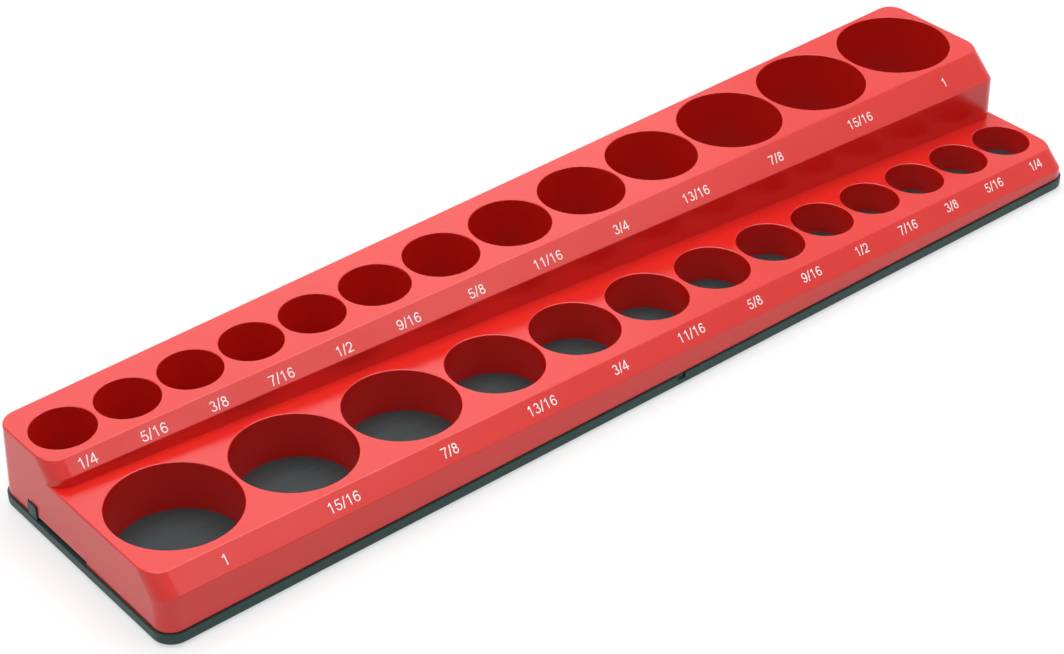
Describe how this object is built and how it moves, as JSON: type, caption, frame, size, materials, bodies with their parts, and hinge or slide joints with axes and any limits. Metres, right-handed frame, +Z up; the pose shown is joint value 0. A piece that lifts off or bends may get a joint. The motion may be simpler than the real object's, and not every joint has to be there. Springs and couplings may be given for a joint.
{
  "type": "socket tray",
  "caption": "Stepped red plastic tray with graded round wells for square-drive sockets, size numbers on sloping label faces, and magnets in a flat black base.",
  "frame": {"origin": "middle of the footprint, at the underside of the foot pads", "axes": "+X along the rows towards the end where the rear row's largest well is, +Y to the back, +Z up"},
  "size_m": [0.3422, 0.081, 0.0342],
  "materials": {
    "shell_red": "glossy moulded red",
    "base_black": "satin moulded black",
    "liner_black": "matt black film",
    "magnet_black": "black epoxy coat",
    "screw_steel": "zinc plated",
    "pad_rubber": "matt"
  },
  "bodies": {
    "root": {"top_shell": "shell_red", "base_plate": "base_black", "floor_liner": "liner_black", "magnets_12": "magnet_black", "magnets_15": "magnet_black", "magnets_20": "magnet_black", "magnets_25": "magnet_black", "shell_screws": "screw_steel", "foot_pads": "pad_rubber"}
  },
  "joints": []
}
